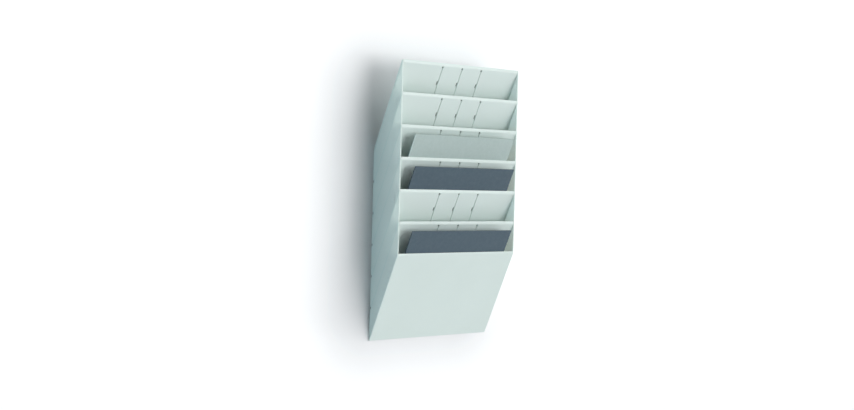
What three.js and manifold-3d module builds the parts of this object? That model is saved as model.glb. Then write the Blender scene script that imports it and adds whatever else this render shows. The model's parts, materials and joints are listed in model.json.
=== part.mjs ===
// Wall rack for medical charts: six inclined pockets between two side panels, hung on two keyhole rails.
// Millimetres, +Z up. The wall is the plane y = 0 and the rack faces -Y.
import * as THREE from 'three';
import { mergeVertices } from 'three/addons/utils/BufferGeometryUtils.js';
import Module from 'manifold-3d';

const wasm = await Module();
wasm.setup();

// Overall sizes
const RACK_WIDTH = 350;
const RACK_DEPTH = 97;
const POCKET_COUNT = 6;
const POCKET_PITCH = 71;
const PANEL_RISE = 200;
const WALL_GAP = 2;
const CLEARANCE = 0.3;

// Walls and edges
const SIDE_WALL = 3;
const PANEL_WALL = 2.8;
const DIVIDER_WALL = 4.2;
const TIP_RADIUS = 0.9;
const LIP_BLEND_RADIUS = 8;
const FRONT_BLEND_RADIUS = 4;
const EDGE_RADIUS = 0.5;
const END_ROUND = 0.3;
const TOP_CORNER_RADIUS = 4;

// Edge joints: rebates in the outer panels, stopped grooves in the side panels, lugs in rear notches
const REBATE_DEPTH = 1;
const GROOVE_DEPTH = 1.2;
const GROOVE_STOP = 7;
const LUG_LIFT = 2.6;
const LUG_HEIGHT = 4.4;
const LUG_DEPTH = 3.2;
const LUG_RECESS = 1.8;

// Separator tracks on the front face of each pocket's rear wall
const TRACKS_PER_PANEL = 3;
const TRACK_SPACING = 58;
const TRACK_WIDTH = 1.6;
const TRACK_DEPTH = 1.6;
const TRACK_FOOT = 12;
const TRACK_EYE_DROP = 6.5;
const TRACK_EYE_DIAMETER = 4.8;
const TRACK_EYE_DEPTH = 3.2;
const LATCH_WIDTH = 3.8;
const LATCH_LENGTH = 11;
const LATCH_DEPTH = 3.2;
const LATCH_DROP = 38;
const LATCH_OFFSET = 2.3;

// Pocket floors, angle strips square to the panels
const FLOOR_WALL = 2.4;
const FLOOR_FLANGE = 12;
const FLOOR_MARGIN = 2;
const FLOOR_FILLET = 1;

// Wall rails
const RAIL_WALL = 3;
const RAIL_HEIGHT = 46;
const RAIL_EAR_DEPTH = 16;
const RAIL_EAR_WALL = 2.4;
const KEYHOLE_SPACING = 240;
const KEYHOLE_HEAD_DIAMETER = 9;
const KEYHOLE_NECK_WIDTH = 4.6;
const KEYHOLE_TRAVEL = 9;

// Chart folders
const FOLDER_WIDTH = 297;
const FOLDER_HEIGHT = 210;
const FOLDER_THICKNESS = 2.4;
const FOLDER_LEAF = 0.7;
const FOLDERS = [
  { name: 'chart_folder_lower', panel: 0, shift: -3, tone: 'dark' },
  { name: 'chart_folder_middle', panel: 2, shift: 0.5, tone: 'dark' },
  { name: 'chart_folder_upper', panel: 3, shift: -2, tone: 'pale' },
];

// Facets on round shapes
const CURVE_STEPS = 3;
const END_ROUND_STEPS = 2;
const ROUND_SIDES = 20;
const OVERSHOOT = 2;

// Worked-out sizes
const SLOPE_RUN = RACK_DEPTH - WALL_GAP;
const SLOPE_LENGTH = Math.hypot(SLOPE_RUN, PANEL_RISE);
const LEAN = Math.atan2(SLOPE_RUN, PANEL_RISE);
const LEAN_SIN = Math.sin(LEAN);
const LEAN_COS = Math.cos(LEAN);
const CUT_HEIGHT = PANEL_WALL / LEAN_SIN;
const TIP_DROP = TIP_RADIUS / Math.tan(LEAN / 2) - TIP_RADIUS;
const DIVIDER_FACE = DIVIDER_WALL - PANEL_WALL;
const INNER_WIDTH = RACK_WIDTH - 2 * SIDE_WALL;
const PANEL_SPACING = POCKET_PITCH * LEAN_SIN;
const FLOOR_STATION = POCKET_PITCH * LEAN_COS + FLOOR_MARGIN;
const RAIL_CENTRE = (CUT_HEIGHT + POCKET_PITCH) / 2;
const UPPER_RAIL_POCKET = POCKET_COUNT - 1;

// Finishes
const PLASTIC = new THREE.MeshStandardMaterial({ color: 0xd9e5e2, roughness: 0.42, metalness: 0 });
const FOLDER_FINISH = {
  dark: new THREE.MeshStandardMaterial({ color: 0x50626e, roughness: 0.75, metalness: 0 }),
  pale: new THREE.MeshStandardMaterial({ color: 0xabbdb9, roughness: 0.75, metalness: 0 }),
};

// Turns a drawn section, (across, up) in its own plane, so that it runs along X with the section in YZ
const SECTION_ALONG_X = new THREE.Matrix4().makeBasis(
  new THREE.Vector3(0, 1, 0),
  new THREE.Vector3(0, 0, 1),
  new THREE.Vector3(1, 0, 0),
);

function solid(geometry) {
  const bare = geometry.clone();
  bare.deleteAttribute('normal');
  bare.deleteAttribute('uv');
  const welded = mergeVertices(bare);
  return new wasm.Manifold(new wasm.Mesh({
    numProp: 3,
    vertProperties: new Float32Array(welded.attributes.position.array),
    triVerts: new Uint32Array(welded.index.array),
  }));
}

function piece(name, body, material) {
  const { vertProperties, triVerts } = body.getMesh();
  const geometry = new THREE.BufferGeometry();
  geometry.setAttribute('position', new THREE.BufferAttribute(new Float32Array(vertProperties), 3));
  geometry.setIndex(new THREE.BufferAttribute(new Uint32Array(triVerts), 1));
  geometry.computeVertexNormals();
  const mesh = new THREE.Mesh(geometry, material.clone());
  mesh.name = name;
  return mesh;
}

// Closed outline with straight sides, each corner given as [across, up, radius]
function outline(corners) {
  const shape = new THREE.Shape();
  corners.forEach(([across, up, radius], index) => {
    const corner = new THREE.Vector2(across, up);
    const back = new THREE.Vector2(...corners.at(index - 1)).sub(corner).normalize();
    const onward = new THREE.Vector2(...corners[(index + 1) % corners.length]).sub(corner).normalize();
    const halfAngle = Math.acos(back.dot(onward)) / 2;
    const setback = radius / Math.tan(halfAngle);
    const entry = back.clone().multiplyScalar(setback).add(corner);
    const exit = onward.clone().multiplyScalar(setback).add(corner);
    if (index === 0) {
      shape.moveTo(entry.x, entry.y);
    } else {
      shape.lineTo(entry.x, entry.y);
    }
    if (radius > 0) {
      const centre = back.clone().add(onward).setLength(radius / Math.sin(halfAngle)).add(corner);
      const startAngle = entry.clone().sub(centre).angle();
      const endAngle = exit.clone().sub(centre).angle();
      const clockwise = back.cross(onward) > 0;
      shape.absarc(centre.x, centre.y, radius, startAngle, endAngle, clockwise);
    }
  });
  return shape;
}

// Section run along X for the given width, with both end edges rounded where asked
function run(shape, width, endRound = 0) {
  const geometry = new THREE.ExtrudeGeometry(shape, {
    depth: width - 2 * endRound,
    bevelEnabled: endRound > 0,
    bevelSize: endRound,
    bevelThickness: endRound,
    bevelOffset: -endRound,
    bevelSegments: END_ROUND_STEPS,
    curveSegments: CURVE_STEPS,
  });
  geometry.translate(0, 0, endRound - width / 2);
  return geometry.applyMatrix4(SECTION_ALONG_X);
}

// Upright slot outline with round ends, centred on the origin
function slotOutline(width, length) {
  const radius = width / 2;
  const reach = length / 2 - radius;
  const shape = new THREE.Shape();
  shape.absarc(0, reach, radius, 0, Math.PI);
  shape.absarc(0, -reach, radius, Math.PI, 2 * Math.PI);
  return shape;
}

function box(low, high) {
  const geometry = new THREE.BoxGeometry(high[0] - low[0], high[1] - low[1], high[2] - low[2]);
  return geometry.translate((low[0] + high[0]) / 2, (low[1] + high[1]) / 2, (low[2] + high[2]) / 2);
}

function bothSides(build) {
  return build(-1).add(build(1));
}

// Frame of an inclined panel: X across, Y up the slope from its rear edge, Z out of its front face
function panelFrame(index) {
  const frame = new THREE.Group();
  frame.position.set(0, -WALL_GAP, index * POCKET_PITCH);
  frame.rotation.x = Math.PI / 2 + LEAN;
  frame.updateMatrixWorld();
  return frame;
}

const REAR_CORNER_IN_PANEL = panelFrame(0).matrixWorld.clone().invert();

// Box beside the rear lower corner of a panel, square to the wall, in that panel's frame
function cornerBox(low, high) {
  return solid(box(low, high).applyMatrix4(REAR_CORNER_IN_PANEL));
}

// Station up the slope of an upright line through the panel's rear edge, at a height over its front face
function uprightStation(height) {
  return -height / Math.tan(LEAN);
}

// Section of an inclined panel, cut upright at the rear and flush with the front of the rack
function panelSection(face, blend) {
  return outline([
    [uprightStation(face), face, EDGE_RADIUS],
    [SLOPE_LENGTH + uprightStation(face), face, blend],
    [SLOPE_LENGTH + uprightStation(-PANEL_WALL), -PANEL_WALL, TIP_RADIUS],
    [uprightStation(-PANEL_WALL), -PANEL_WALL, EDGE_RADIUS],
  ]);
}

// Front panel: full width, its upper face stepped at both ends to seat the side panels
function frontPanel() {
  const plate = solid(run(panelSection(0, FRONT_BLEND_RADIUS), RACK_WIDTH, END_ROUND));
  const rebates = bothSides((side) => endRebate(side, -PANEL_WALL - OVERSHOOT, REBATE_DEPTH - PANEL_WALL));
  return plate.subtract(rebates);
}

// Top panel: full width, its front face stepped at both ends, with rounded top corners
function topPanel() {
  const plate = solid(run(panelSection(DIVIDER_FACE, LIP_BLEND_RADIUS), RACK_WIDTH, END_ROUND));
  const rebates = bothSides((side) => endRebate(side, -REBATE_DEPTH, DIVIDER_FACE + OVERSHOOT));
  return plate.subtract(rebates).subtract(bothSides(topCorner)).subtract(separatorTracks());
}

function endRebate(side, low, high) {
  const inside = side * (INNER_WIDTH / 2 - CLEARANCE);
  const outside = side * (RACK_WIDTH / 2 + OVERSHOOT);
  return solid(box(
    [Math.min(inside, outside), -PANEL_RISE, low],
    [Math.max(inside, outside), SLOPE_LENGTH + PANEL_RISE, high],
  ));
}

// Waste outside the rounded corner of the top panel, drawn in the rack's front view
function topCorner(side) {
  const inset = TOP_CORNER_RADIUS - CLEARANCE;
  const across = RACK_WIDTH / 2 - inset;
  const up = PANEL_RISE + CUT_HEIGHT - TIP_DROP - inset;
  const shape = new THREE.Shape();
  shape.moveTo(across + TOP_CORNER_RADIUS + OVERSHOOT, up + TOP_CORNER_RADIUS + OVERSHOOT);
  shape.lineTo(across, up + TOP_CORNER_RADIUS + OVERSHOOT);
  shape.absarc(across, up, TOP_CORNER_RADIUS, Math.PI / 2, 0, true);
  shape.lineTo(across + TOP_CORNER_RADIUS + OVERSHOOT, up);
  const geometry = new THREE.ExtrudeGeometry(shape, {
    depth: RACK_DEPTH,
    bevelEnabled: false,
    curveSegments: 2 * CURVE_STEPS,
  });
  geometry.rotateX(Math.PI / 2);
  if (side < 0) {
    geometry.translate(0, RACK_DEPTH, 0);
    geometry.rotateZ(Math.PI);
  }
  return solid(geometry.applyMatrix4(REAR_CORNER_IN_PANEL));
}

// Three tracks down the front face: a round eye under the lip, a fine groove and a latch recess beside it
function separatorTracks() {
  const eyeStation = SLOPE_LENGTH - TRACK_EYE_DROP;
  const latchStation = eyeStation - LATCH_DROP;
  const above = DIVIDER_FACE + OVERSHOOT;
  const cuts = [];
  for (let track = 0; track < TRACKS_PER_PANEL; track += 1) {
    const across = (track - (TRACKS_PER_PANEL - 1) / 2) * TRACK_SPACING;
    const groove = box(
      [across - TRACK_WIDTH / 2, TRACK_FOOT, DIVIDER_FACE - TRACK_DEPTH],
      [across + TRACK_WIDTH / 2, eyeStation, above],
    );
    const eye = new THREE.CylinderGeometry(
      TRACK_EYE_DIAMETER / 2,
      TRACK_EYE_DIAMETER / 2,
      TRACK_EYE_DEPTH + OVERSHOOT,
      ROUND_SIDES,
    );
    eye.rotateX(Math.PI / 2);
    eye.translate(across, eyeStation, above - (TRACK_EYE_DEPTH + OVERSHOOT) / 2);
    const latch = new THREE.ExtrudeGeometry(slotOutline(LATCH_WIDTH, LATCH_LENGTH), {
      depth: LATCH_DEPTH + OVERSHOOT,
      bevelEnabled: false,
      curveSegments: CURVE_STEPS,
    });
    latch.translate(across - LATCH_OFFSET, latchStation, DIVIDER_FACE - LATCH_DEPTH);
    cuts.push(solid(groove), solid(eye), solid(latch));
  }
  return cuts.reduce((all, cut) => all.add(cut));
}

// Divider panel: tongues at both ends run in the side panels' grooves, lugs lock in the rear notches
function dividerPanel() {
  const tongueReach = INNER_WIDTH / 2 + GROOVE_DEPTH - CLEARANCE;
  const plate = solid(run(panelSection(DIVIDER_FACE, LIP_BLEND_RADIUS), 2 * tongueReach));
  const tongueEnd = SLOPE_LENGTH - GROOVE_STOP - CLEARANCE;
  const shoulders = bothSides((side) => {
    const inside = side * (INNER_WIDTH / 2 - CLEARANCE);
    const outside = side * (tongueReach + OVERSHOOT);
    return solid(box(
      [Math.min(inside, outside), tongueEnd, -PANEL_RISE],
      [Math.max(inside, outside), SLOPE_LENGTH + PANEL_RISE, PANEL_RISE],
    ));
  });
  const lugs = bothSides((side) => {
    const inside = side * (INNER_WIDTH / 2 + CLEARANCE);
    const outside = side * (RACK_WIDTH / 2 - LUG_RECESS);
    return cornerBox(
      [Math.min(inside, outside), -WALL_GAP - LUG_DEPTH, LUG_LIFT],
      [Math.max(inside, outside), -WALL_GAP - CLEARANCE, LUG_LIFT + LUG_HEIGHT],
    );
  });
  return plate.subtract(shoulders).add(lugs).subtract(separatorTracks());
}

// Side panel: a leaning plate seated on the front panel's rebate and under the top panel's
function sidePanel(side) {
  const lowEdge = (PANEL_WALL - REBATE_DEPTH + CLEARANCE) / LEAN_SIN;
  const highEdge = POCKET_COUNT * POCKET_PITCH + (REBATE_DEPTH - CLEARANCE) / LEAN_SIN;
  const section = outline([
    [-WALL_GAP, lowEdge, 0],
    [-WALL_GAP, highEdge, EDGE_RADIUS],
    [-RACK_DEPTH, PANEL_RISE + highEdge, 0],
    [-RACK_DEPTH, PANEL_RISE + lowEdge, 0],
  ]);
  const plate = run(section, SIDE_WALL, END_ROUND);
  plate.translate(side * (RACK_WIDTH - SIDE_WALL) / 2, 0, 0);
  let body = solid(plate);
  for (let index = 1; index < POCKET_COUNT; index += 1) {
    body = body.subtract(dividerGroove(side, index)).subtract(rearNotch(side, index));
  }
  return body;
}

function dividerGroove(side, index) {
  const inside = side * (INNER_WIDTH / 2 - OVERSHOOT);
  const outside = side * (INNER_WIDTH / 2 + GROOVE_DEPTH);
  const groove = box(
    [Math.min(inside, outside), -PANEL_RISE, -PANEL_WALL - CLEARANCE],
    [Math.max(inside, outside), SLOPE_LENGTH - GROOVE_STOP, DIVIDER_FACE + CLEARANCE],
  );
  return solid(groove.applyMatrix4(panelFrame(index).matrixWorld));
}

function rearNotch(side, index) {
  const level = index * POCKET_PITCH + LUG_LIFT;
  const inside = side * (INNER_WIDTH / 2 - OVERSHOOT);
  const outside = side * (RACK_WIDTH / 2 + OVERSHOOT);
  return solid(box(
    [Math.min(inside, outside), -WALL_GAP - LUG_DEPTH - CLEARANCE, level - CLEARANCE],
    [Math.max(inside, outside), OVERSHOOT, level + LUG_HEIGHT + CLEARANCE],
  ));
}

// Pocket floor: an angle strip square to the panels, its flange lying on the lower panel
function pocketFloor() {
  const seat = -PANEL_WALL - CLEARANCE;
  const crest = DIVIDER_FACE + CLEARANCE - PANEL_SPACING;
  const section = outline([
    [FLOOR_STATION - FLOOR_FLANGE, seat, 0],
    [FLOOR_STATION + FLOOR_WALL, seat, 0],
    [FLOOR_STATION + FLOOR_WALL, crest, EDGE_RADIUS],
    [FLOOR_STATION, crest, EDGE_RADIUS],
    [FLOOR_STATION, seat - FLOOR_WALL, FLOOR_FILLET],
    [FLOOR_STATION - FLOOR_FLANGE, seat - FLOOR_WALL, EDGE_RADIUS],
  ]);
  return solid(run(section, INNER_WIDTH - 2 * CLEARANCE));
}

// Wall rail: a flat strip with two keyholes and a leaning ear against each side panel
function wallRail(pocket) {
  const centre = pocket * POCKET_PITCH + RAIL_CENTRE;
  const foot = centre - RAIL_HEIGHT / 2;
  const head = centre + RAIL_HEIGHT / 2;
  const length = INNER_WIDTH - 2 * CLEARANCE;
  const strip = solid(box([-length / 2, -RAIL_WALL, foot], [length / 2, 0, head]));
  const earSlope = (RAIL_EAR_DEPTH - RAIL_WALL) / Math.tan(LEAN);
  const ears = bothSides((side) => {
    const ear = run(outline([
      [-RAIL_WALL / 2, foot, 0],
      [-RAIL_WALL, foot, 0],
      [-RAIL_EAR_DEPTH, foot + earSlope, EDGE_RADIUS],
      [-RAIL_EAR_DEPTH, head, EDGE_RADIUS],
      [-RAIL_WALL / 2, head, 0],
    ]), RAIL_EAR_WALL);
    return solid(ear.translate(side * (length - RAIL_EAR_WALL) / 2, 0, 0));
  });
  const keyholes = bothSides((side) => keyhole(side * KEYHOLE_SPACING / 2, centre));
  return strip.add(ears).subtract(keyholes);
}

// Keyhole through a rail: a round hole for a screw head and a narrower slot above it
function keyhole(across, centre) {
  const depth = RAIL_WALL + 2 * OVERSHOOT;
  const headCentre = centre - KEYHOLE_TRAVEL / 2;
  const head = new THREE.CylinderGeometry(
    KEYHOLE_HEAD_DIAMETER / 2,
    KEYHOLE_HEAD_DIAMETER / 2,
    depth,
    ROUND_SIDES,
  );
  head.translate(across, -RAIL_WALL / 2, headCentre);
  const neckLength = KEYHOLE_TRAVEL + KEYHOLE_NECK_WIDTH;
  const neck = new THREE.ExtrudeGeometry(slotOutline(KEYHOLE_NECK_WIDTH, neckLength), {
    depth,
    bevelEnabled: false,
    curveSegments: 2 * CURVE_STEPS,
  });
  neck.rotateX(Math.PI / 2);
  neck.translate(across, OVERSHOOT, centre);
  return solid(head).add(solid(neck));
}

// Chart folder: a folded card, two leaves joined by a round fold that stands on the pocket floor
function chartFolder(shift) {
  const front = -PANEL_WALL - CLEARANCE;
  const back = front - FOLDER_THICKNESS;
  const middle = (front + back) / 2;
  const foldRadius = FOLDER_THICKNESS / 2;
  const bottom = FLOOR_STATION + FLOOR_WALL + CLEARANCE;
  const fold = bottom + foldRadius;
  const top = bottom + FOLDER_HEIGHT;
  const shape = new THREE.Shape();
  shape.moveTo(top, back);
  shape.lineTo(top, back + FOLDER_LEAF);
  shape.lineTo(fold, back + FOLDER_LEAF);
  shape.absarc(fold, middle, foldRadius - FOLDER_LEAF, -Math.PI / 2, Math.PI / 2, true);
  shape.lineTo(top, front - FOLDER_LEAF);
  shape.lineTo(top, front);
  shape.lineTo(fold, front);
  shape.absarc(fold, middle, foldRadius, Math.PI / 2, -Math.PI / 2);
  return solid(run(shape, FOLDER_WIDTH).translate(shift, 0, 0));
}

// The rack, with its origin on the wall face of the upper rail
const rack = new THREE.Group();
rack.position.z = -UPPER_RAIL_POCKET * POCKET_PITCH - RAIL_CENTRE;

function addOnPanel(index, mesh) {
  const frame = panelFrame(index);
  frame.add(mesh);
  rack.add(frame);
}

rack.add(piece('side_panel_left', sidePanel(-1), PLASTIC));
rack.add(piece('side_panel_right', sidePanel(1), PLASTIC));
addOnPanel(0, piece('front_panel', frontPanel(), PLASTIC));
for (let index = 1; index < POCKET_COUNT; index += 1) {
  addOnPanel(index, piece(`divider_panel_${index}`, dividerPanel(), PLASTIC));
}
addOnPanel(POCKET_COUNT, piece('top_panel', topPanel(), PLASTIC));
for (let index = 0; index < POCKET_COUNT; index += 1) {
  addOnPanel(index, piece(`pocket_floor_${index + 1}`, pocketFloor(), PLASTIC));
}
rack.add(piece('wall_rail_upper', wallRail(UPPER_RAIL_POCKET), PLASTIC));
rack.add(piece('wall_rail_lower', wallRail(0), PLASTIC));
for (const folder of FOLDERS) {
  addOnPanel(folder.panel, piece(folder.name, chartFolder(folder.shift), FOLDER_FINISH[folder.tone]));
}

const model = new THREE.Group();
model.add(rack);

export default model;
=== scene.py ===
"""Looks, light and camera for a six-pocket wall chart rack and its three folders.

Metres, +Z up. The wall is the plane y = 0, the rack faces -Y, and +X is to the viewer's right.
"""
import json
import math

import bpy
from mathutils import Matrix, Vector


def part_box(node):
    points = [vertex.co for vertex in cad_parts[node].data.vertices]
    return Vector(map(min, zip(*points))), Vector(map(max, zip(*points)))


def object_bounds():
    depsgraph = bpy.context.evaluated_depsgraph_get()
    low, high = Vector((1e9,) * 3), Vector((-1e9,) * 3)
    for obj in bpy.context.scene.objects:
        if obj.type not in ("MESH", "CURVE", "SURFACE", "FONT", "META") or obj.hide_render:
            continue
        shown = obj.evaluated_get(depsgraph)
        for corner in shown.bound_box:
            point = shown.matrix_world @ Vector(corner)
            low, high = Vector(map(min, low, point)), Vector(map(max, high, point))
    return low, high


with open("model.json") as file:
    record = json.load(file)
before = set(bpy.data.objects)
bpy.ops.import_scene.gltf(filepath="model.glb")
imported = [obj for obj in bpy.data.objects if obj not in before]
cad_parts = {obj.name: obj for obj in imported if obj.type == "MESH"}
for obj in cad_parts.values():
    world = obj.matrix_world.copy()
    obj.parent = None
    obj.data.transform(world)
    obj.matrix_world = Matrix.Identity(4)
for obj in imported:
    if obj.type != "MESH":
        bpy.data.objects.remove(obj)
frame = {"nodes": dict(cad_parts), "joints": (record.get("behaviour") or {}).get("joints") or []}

cad_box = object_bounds()

MILLIMETRE = 0.001
WHITE = (1, 1, 1, 1)

# Camera, at the photograph's viewing angle
IMAGE_WIDTH_PX = 854
FOCAL_LENGTH_PX = 1274.9
SENSOR_WIDTH_MM = 36.0
CAMERA_PLACE = (-1.9108, -2.2788, -0.0239)
CAMERA_YAW = math.radians(39.77)
CAMERA_PITCH = math.radians(-1.19)
CAMERA_ROLL = math.radians(1.51)

# Lamps: bearing and height in degrees, spread in degrees, strength, colour.
# Bearings are turned from straight in front of the rack towards the viewer's right.
LAMP_WHITE = (1.0, 1.0, 1.0)
LAMP_COOL = (0.45, 0.8, 1.0)
LAMPS = {
    "front_lamp": (20, -2, 35, 1.3, LAMP_WHITE),
    "low_lamp": (45, -26, 90, 2.0, LAMP_WHITE),
    "high_lamp": (45, 30, 35, 1.05, LAMP_WHITE),
    "right_lamp": (84, 0, 12, 1.1, LAMP_WHITE),
    "left_lamp": (-84, 0, 12, 0.66, LAMP_COOL),
}
REAR_LAMP = (160, 30, 60, 0.15, LAMP_WHITE)

# Room: the even light that it gives, and how bright the camera and reflections see it
ROOM_COLOUR = (0.92, 0.99, 1.0, 1)
ROOM_STRENGTH = 0.01
ROOM_SHOWN = 1.0

# Wall and floor
FLOOR_LEVEL = -1.5
COVE_RADIUS = 0.4
COVE_STEPS = 16
STAGE_REACH = 6.0
STAGE_PAINT = (0.85, 0.86, 0.87, 1)
STAGE_ROUGHNESS = 1.0
STAGE_SPECULAR = 0.0

# Glow of wall and floor: its strength in reflections, and for the camera, where it fades in
# between two distances from the rack's box. The box is trimmed where hardly any shadow falls.
STAGE_SHOWN = 0.8
STAGE_GLOW = 0.3
GLOW_FADE = (0.02, 0.22)
GLOW_TRIM_RIGHT = 0.10
GLOW_TRIM_BELOW = 0.08
GLOW_TRIM_ABOVE = 0.07

# Noise settings are a scale per metre, detail and roughness.
# A band is the two values of a noise or a measure between which its effect goes from least to most.
NOISE_BAND = (0.3, 0.7)

# Moulded rack plastic
PLASTIC_LIGHT = (0.785, 0.90, 0.867, 1)
# The deep tone serves the random drift, and also the painted shade of the bands on the side panels
PLASTIC_DEEP = (0.765, 0.88, 0.847, 1)
PLASTIC_RUBBED = (0.82, 0.90, 0.875, 1)
# Painted shade: the dark colour painted on the pit floors and the lug ends
PLASTIC_PAINTED_SHADE = (0.15, 0.18, 0.17, 1)
PLASTIC_PASSED = (0.95, 0.96, 0.92, 1)
PLASTIC_ROUGHNESS = (0.30, 0.33)
PLASTIC_IOR = 1.52
PANEL_LIGHT_THROUGH = 0.12
SIDE_LIGHT_THROUGH = 0.38
DRIFT_NOISE = (7.0, 3.0, 0.5)
HAZE_NOISE = (38.0, 5.0, 0.6)
PATCH_NOISE = (55.0, 4.0, 0.6)
PATCH_BAND = (0.35, 0.7)
PATCH_WEAR = (0.25, 0.9)
GRAIN_NOISE = (1500.0, 3.0, 0.6)
GRAIN_STRENGTH = 0.12
GRAIN_HEIGHT = 0.15 * MILLIMETRE

# Rubbed edges: the band is the cosine between the rounded normal and the face's own
EDGE_WEAR_RADIUS = 0.9 * MILLIMETRE
EDGE_BAND = (0.995, 0.90)
EDGE_SAMPLES = 4

# Levels above the slope of the lowest divider are in pocket pitches
ONE_PITCH = 1.0
HALF_PITCH = 0.5

# Painted shade in the pits: the floors of the eyes and latch recesses are painted dark for the shade in
# them. The band lies between the levels of the groove floors and the pit floors.
# The shift puts both faces of a panel into the same pitch.
PIT_SHIFT = 0.1
PIT_BAND = (0.145, 0.17)
HOLLOW_REACH = 5 * MILLIMETRE
HOLLOW_BAND = (0.85, 0.65)
HOLLOW_SAMPLES = 8

# Painted shade on the lug ends, dark for the shade in the side panels' rear notches: the band lies
# outside the side panels' inner faces
LUG_BAND = (0.3 * MILLIMETRE, 0.6 * MILLIMETRE)

# Painted shade on the side panels: darker bands where the inclined panels meet them, for the panels'
# shadow seen through the plastic. Their reach to either side, in pocket pitches, and their full share
DIVIDER_SHADE_REACH = 0.09
DIVIDER_SHADE_SHARE = 0.7

# Folded card
SLATE_CARD = (0.052, 0.085, 0.112, 1)
SLATE_FIBRE = (0.070, 0.107, 0.135, 1)
SLATE_EDGE = (0.17, 0.21, 0.24, 1)
PALE_CARD = (0.42, 0.52, 0.50, 1)
PALE_FIBRE = (0.47, 0.57, 0.55, 1)
PALE_EDGE = (0.58, 0.66, 0.64, 1)
CARD_ROUGHNESS = (0.62, 0.78)
CARD_IOR = 1.45
CARD_EDGE_RADIUS = 0.35 * MILLIMETRE
PULP_NOISE = (120.0, 6.0, 0.7)
PULP_BAND = (0.3, 0.75)
PULP_SHARE = (0.0, 0.8)
STRAND_STRETCH = (140.0, 1400.0, 1400.0)
STRAND_NOISE = (1.0, 3.0, 0.6)
STRAND_BAND = (0.55, 0.8)
STRAND_SHARE = (0.0, 0.45)
TOOTH_NOISE = (2200.0, 4.0, 0.7)
TOOTH_STRENGTH = 0.2
TOOTH_HEIGHT = 0.1 * MILLIMETRE

# Sockets of a Mix node that mixes colours
MIX_INPUTS = (0, 6, 7)
MIX_RESULT = 2


# Node trees
def new_material(name):
    material = bpy.data.materials.new(name)
    material.use_nodes = True
    tree = material.node_tree
    return material, tree, tree.nodes["Principled BSDF"]


def feed(tree, socket, value):
    """Sets a socket to a plain value, or links it to another node's output."""
    if isinstance(value, bpy.types.NodeSocket):
        tree.links.new(value, socket)
    else:
        socket.default_value = value


def feed_by_name(tree, node, **values):
    """Feeds a node's inputs; the names have underscores for spaces."""
    for name, value in values.items():
        feed(tree, node.inputs[name.replace("_", " ")], value)


def add(tree, kind, *values, settings=None, **named_values):
    """A new node. The values feed its inputs, in order or by name."""
    made = tree.nodes.new(kind)
    for key, value in (settings or {}).items():
        setattr(made, key, value)
    for socket, value in zip(made.inputs, values):
        feed(tree, socket, value)
    feed_by_name(tree, made, **named_values)
    return made


def calculate(tree, operation, *values):
    """The result of a math node."""
    return add(tree, "ShaderNodeMath", *values, settings={"operation": operation}).outputs["Value"]


def calculate_vector(tree, operation, *values, result="Vector"):
    """The result of a vector math node, which is its Value for a length or a dot product."""
    return add(tree, "ShaderNodeVectorMath", *values, settings={"operation": operation}).outputs[result]


def noise(tree, coordinates, scale, detail, roughness):
    texture = add(
        tree, "ShaderNodeTexNoise", Vector=coordinates, Scale=scale, Detail=detail, Roughness=roughness,
    )
    return texture.outputs["Fac"]


def remap(tree, value, band, target=(0.0, 1.0)):
    """Goes smoothly from one end of the target to the other while the value crosses the band."""
    ranged = add(
        tree, "ShaderNodeMapRange", settings={"interpolation_type": "SMOOTHSTEP"},
        Value=value, From_Min=band[0], From_Max=band[1], To_Min=target[0], To_Max=target[1],
    )
    return ranged.outputs["Result"]


def mix_colour(tree, factor, first, second):
    mixed = add(tree, "ShaderNodeMix", settings={"data_type": "RGBA"})
    for index, value in zip(MIX_INPUTS, (factor, first, second)):
        feed(tree, mixed.inputs[index], value)
    return mixed.outputs[MIX_RESULT]


def bump(tree, height, strength, distance):
    return add(
        tree, "ShaderNodeBump", Height=height, Strength=strength, Distance=distance,
    ).outputs["Normal"]


def show_mix(tree, output, factor, first, second):
    """Shows two shaders, mixed by the factor, on the output of that name."""
    mixed = add(tree, "ShaderNodeMixShader", factor, first, second)
    feed_by_name(tree, tree.nodes[output], Surface=mixed.outputs["Shader"])


def object_place(tree):
    return tree.nodes.new("ShaderNodeTexCoord").outputs["Object"]


# Masks
def edge_mask(tree, radius):
    """One along convex and concave edges within the radius, zero on flat faces."""
    rounded = add(tree, "ShaderNodeBevel", settings={"samples": EDGE_SAMPLES}, Radius=radius)
    own = tree.nodes.new("ShaderNodeNewGeometry").outputs["Normal"]
    agreement = calculate_vector(tree, "DOT_PRODUCT", rounded.outputs["Normal"], own, result="Value")
    return remap(tree, agreement, EDGE_BAND)


def pitch_level(tree, shift):
    """Height above the slope of the lowest divider, in pocket pitches, moved up by the shift."""
    lean = Vector(frame["joints"][0]["axis"])
    low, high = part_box("divider_panel_1")
    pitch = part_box("divider_panel_2")[0].z - low.z
    rise_per_depth = lean.z / lean.y
    start = (high.y * rise_per_depth - low.z) / pitch + shift
    split = add(tree, "ShaderNodeSeparateXYZ", object_place(tree))
    back = calculate(tree, "MULTIPLY_ADD", split.outputs["Y"], -rise_per_depth / pitch, start)
    return calculate(tree, "MULTIPLY_ADD", split.outputs["Z"], 1 / pitch, back)


def pit_shade_mask(tree):
    """One on the floors of the eyes and latch recesses, which lie deeper than the grooves, where the
    plastic is painted dark as shade.
    """
    depth = calculate(tree, "FLOORED_MODULO", pitch_level(tree, PIT_SHIFT), ONE_PITCH)
    hollow = add(
        tree, "ShaderNodeAmbientOcclusion",
        settings={"samples": HOLLOW_SAMPLES, "only_local": True}, Distance=HOLLOW_REACH,
    )
    inside = remap(tree, hollow.outputs["AO"], HOLLOW_BAND)
    return calculate(tree, "MULTIPLY", remap(tree, depth, PIT_BAND), inside)


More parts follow.
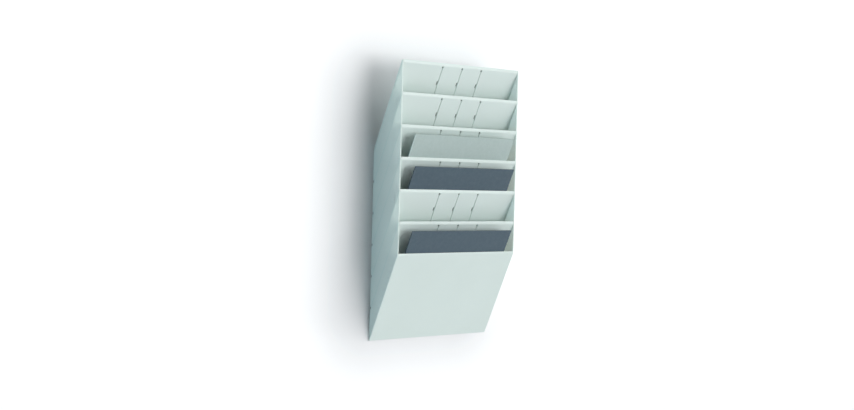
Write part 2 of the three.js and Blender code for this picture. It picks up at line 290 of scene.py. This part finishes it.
def lug_shade_mask(tree):
    """One on the lug ends, which show only in the side panels' rear notches, where they are painted dark
    as the notches' shade.
    """
    split = add(tree, "ShaderNodeSeparateXYZ", object_place(tree))
    across = calculate(tree, "ABSOLUTE", split.outputs["X"])
    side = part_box("side_panel_right")[0].x
    return remap(tree, across, [side + reach for reach in LUG_BAND])


def divider_shade_mask(tree):
    """Strongest on the lines where the inclined panels meet a side panel, fading out to both sides:
    painted shade of the panels seen through the side panel.
    """
    nearest = calculate(tree, "PINGPONG", pitch_level(tree, 0.0), HALF_PITCH)
    return remap(tree, nearest, (0.0, DIVIDER_SHADE_REACH), (DIVIDER_SHADE_SHARE, 0.0))


# Materials of the object
def moulded_plastic(name, light_through, painted_shades=()):
    """Satin polystyrene: fine spark-eroded grain, slow tone drift, handling haze, rubbed edges.

    Some light comes through. Each painted shade is a function for its mask and its colour, laid on both
    the surface colour and the light that comes through.
    """
    material, tree, shader = new_material(name)
    place = object_place(tree)
    drift = remap(tree, noise(tree, place, *DRIFT_NOISE), NOISE_BAND)
    colour = mix_colour(tree, drift, PLASTIC_LIGHT, PLASTIC_DEEP)
    patches = remap(tree, noise(tree, place, *PATCH_NOISE), PATCH_BAND, PATCH_WEAR)
    worn = calculate(tree, "MULTIPLY", edge_mask(tree, EDGE_WEAR_RADIUS), patches)
    colour = mix_colour(tree, worn, colour, PLASTIC_RUBBED)
    passed = PLASTIC_PASSED
    # Painted shade, laid on both the surface colour and the colour of the light that comes through
    for mask, tone in painted_shades:
        where = mask(tree)
        colour = mix_colour(tree, where, colour, tone)
        passed = mix_colour(tree, where, passed, tone)
    feed_by_name(
        tree, shader,
        Base_Color=colour,
        Roughness=remap(tree, noise(tree, place, *HAZE_NOISE), NOISE_BAND, PLASTIC_ROUGHNESS),
        IOR=PLASTIC_IOR,
        Normal=bump(tree, noise(tree, place, *GRAIN_NOISE), GRAIN_STRENGTH, GRAIN_HEIGHT),
    )
    through = add(tree, "ShaderNodeBsdfTranslucent", Color=passed)
    show_mix(tree, "Material Output", light_through, shader.outputs["BSDF"], through.outputs["BSDF"])
    return material


def card(name, tone, fibre, edge):
    """Pressed card: mottled pulp, short fibres along its width, a fine tooth, paler cut edges."""
    material, tree, shader = new_material(name)
    place = object_place(tree)
    pulp = remap(tree, noise(tree, place, *PULP_NOISE), PULP_BAND, PULP_SHARE)
    colour = mix_colour(tree, pulp, tone, fibre)
    stretched = add(tree, "ShaderNodeMapping", Vector=place, Scale=STRAND_STRETCH)
    strands = noise(tree, stretched.outputs["Vector"], *STRAND_NOISE)
    colour = mix_colour(tree, remap(tree, strands, STRAND_BAND, STRAND_SHARE), colour, fibre)
    colour = mix_colour(tree, edge_mask(tree, CARD_EDGE_RADIUS), colour, edge)
    tooth = noise(tree, place, *TOOTH_NOISE)
    feed_by_name(
        tree, shader,
        Base_Color=colour,
        Roughness=remap(tree, tooth, NOISE_BAND, CARD_ROUGHNESS),
        IOR=CARD_IOR,
        Normal=bump(tree, tooth, TOOTH_STRENGTH, TOOTH_HEIGHT),
    )
    return material


def dress():
    """Gives each node the first finish whose key starts the node's name, or else the plain panel's."""
    # Painted shade: dark pit floors, dark lug ends, and darker bands on the side panels along the
    # dividers
    shaded_pits = (pit_shade_mask, PLASTIC_PAINTED_SHADE)
    shaded_lugs = (lug_shade_mask, PLASTIC_PAINTED_SHADE)
    divider_shades = (divider_shade_mask, PLASTIC_DEEP)
    panel = moulded_plastic("rack_plastic_panel", PANEL_LIGHT_THROUGH)
    finishes = {
        "side_panel": moulded_plastic("rack_plastic_side", SIDE_LIGHT_THROUGH, [divider_shades]),
        "divider_panel": moulded_plastic("rack_plastic_divider", PANEL_LIGHT_THROUGH, [shaded_pits, shaded_lugs]),
        "top_panel": moulded_plastic("rack_plastic_top", PANEL_LIGHT_THROUGH, [shaded_pits]),
        "chart_folder_upper": card("folder_card_pale", PALE_CARD, PALE_FIBRE, PALE_EDGE),
        "chart_folder": card("folder_card_slate", SLATE_CARD, SLATE_FIBRE, SLATE_EDGE),
    }
    for name, node in frame["nodes"].items():
        finish = next((made for start, made in finishes.items() if name.startswith(start)), panel)
        node.data.materials.clear()
        node.data.materials.append(finish)


# Stage
def distance_from_rack(tree):
    """How far a point of the stage lies outside the rack's trimmed box."""
    low = Vector(cad_box[0]) + Vector((0, 0, GLOW_TRIM_BELOW))
    high = Vector(cad_box[1]) - Vector((GLOW_TRIM_RIGHT, 0, GLOW_TRIM_ABOVE))
    place = tree.nodes.new("ShaderNodeNewGeometry").outputs["Position"]
    from_middle = calculate_vector(tree, "SUBTRACT", place, (low + high) / 2)
    to_either_side = calculate_vector(tree, "ABSOLUTE", from_middle)
    past_the_side = calculate_vector(tree, "SUBTRACT", to_either_side, (high - low) / 2)
    outside = calculate_vector(tree, "MAXIMUM", past_the_side, Vector((0, 0, 0)))
    return calculate_vector(tree, "LENGTH", outside, result="Value")


def stage_paint():
    """White paint that shows from in front only, so that the rack can be seen from behind too.

    Only the camera and reflections see its glow.
    """
    material, tree, shader = new_material("stage_paint")
    material.cycles.emission_sampling = "NONE"
    path = tree.nodes.new("ShaderNodeLightPath")
    mirrored = calculate(tree, "MULTIPLY", path.outputs["Is Glossy Ray"], STAGE_SHOWN)
    faded = remap(tree, distance_from_rack(tree), GLOW_FADE, (0.0, STAGE_GLOW))
    feed_by_name(
        tree, shader,
        Base_Color=STAGE_PAINT,
        Roughness=STAGE_ROUGHNESS,
        Specular_IOR_Level=STAGE_SPECULAR,
        Emission_Color=WHITE,
        Emission_Strength=calculate(tree, "MULTIPLY_ADD", path.outputs["Is Camera Ray"], faded, mirrored),
    )
    behind = tree.nodes.new("ShaderNodeNewGeometry").outputs["Backfacing"]
    clear = tree.nodes.new("ShaderNodeBsdfTransparent")
    show_mix(tree, "Material Output", behind, shader.outputs["BSDF"], clear.outputs["BSDF"])
    return material


def cove():
    """Floor, quarter-round and wall in one sheet."""
    profile = [(-STAGE_REACH, FLOOR_LEVEL)]
    for step in range(COVE_STEPS + 1):
        angle = math.radians(90) * step / COVE_STEPS
        across = -COVE_RADIUS + COVE_RADIUS * math.sin(angle)
        up = FLOOR_LEVEL + COVE_RADIUS - COVE_RADIUS * math.cos(angle)
        profile.append((across, up))
    profile.append((0.0, STAGE_REACH))
    points = [(side * STAGE_REACH, y, z) for y, z in profile for side in (-1, 1)]
    faces = [(2 * k, 2 * k + 1, 2 * k + 3, 2 * k + 2) for k in range(len(profile) - 1)]
    mesh = bpy.data.meshes.new("stage_cove")
    mesh.from_pydata(points, [], faces)
    mesh.materials.append(stage_paint())
    sheet = bpy.data.objects.new("stage_cove", mesh)
    bpy.context.scene.collection.objects.link(sheet)
    return sheet


# Light and camera
def aim(turn, height):
    """The rotation that looks along +Y, turned towards +X and then raised, by angles in radians."""
    ahead = Vector((
        math.sin(turn) * math.cos(height),
        math.cos(turn) * math.cos(height),
        math.sin(height),
    ))
    return ahead.to_track_quat("-Z", "Y")


def sun(name, bearing, height, spread, strength, colour, passes=()):
    """A wide, even lamp, its angles in degrees. Its light goes through the objects that it passes."""
    lamp = bpy.data.lights.new(name, "SUN")
    lamp.energy = strength
    lamp.angle = math.radians(spread)
    lamp.color = colour
    holder = bpy.data.objects.new(name, lamp)
    holder.rotation_euler = aim(-math.radians(bearing), -math.radians(height)).to_euler()
    bpy.context.scene.collection.objects.link(holder)
    if passes:
        clear = bpy.data.collections.new(name + "_passes")
        for thing in passes:
            clear.objects.link(thing)
        for link in clear.collection_objects:
            link.light_linking.link_state = "EXCLUDE"
        holder.light_linking.blocker_collection = clear


def room():
    """Even light from all round; the camera and reflections see plain white."""
    world = bpy.data.worlds.new("room")
    world.use_nodes = True
    tree = world.node_tree
    even = tree.nodes["Background"]
    feed_by_name(tree, even, Color=ROOM_COLOUR, Strength=ROOM_STRENGTH)
    white = add(tree, "ShaderNodeBackground", Color=WHITE, Strength=ROOM_SHOWN)
    path = tree.nodes.new("ShaderNodeLightPath")
    seen = calculate(tree, "MAXIMUM", path.outputs["Is Camera Ray"], path.outputs["Is Glossy Ray"])
    show_mix(tree, "World Output", seen, even.outputs["Background"], white.outputs["Background"])
    bpy.context.scene.world = world


def camera():
    lens = bpy.data.cameras.new("camera")
    lens.sensor_width = SENSOR_WIDTH_MM
    lens.lens = FOCAL_LENGTH_PX / IMAGE_WIDTH_PX * SENSOR_WIDTH_MM
    holder = bpy.data.objects.new("camera", lens)
    level = aim(CAMERA_YAW, CAMERA_PITCH).to_matrix().to_4x4()
    holder.matrix_world = Matrix.Translation(CAMERA_PLACE) @ level @ Matrix.Rotation(CAMERA_ROLL, 4, "Z")
    bpy.context.scene.collection.objects.link(holder)
    bpy.context.scene.camera = holder


dress()
backdrop = cove()
for lamp_name, lamp_values in LAMPS.items():
    sun(lamp_name, *lamp_values)
sun("rear_lamp", *REAR_LAMP, passes=[backdrop])
room()
camera()
bpy.context.scene.view_settings.view_transform = "Standard"
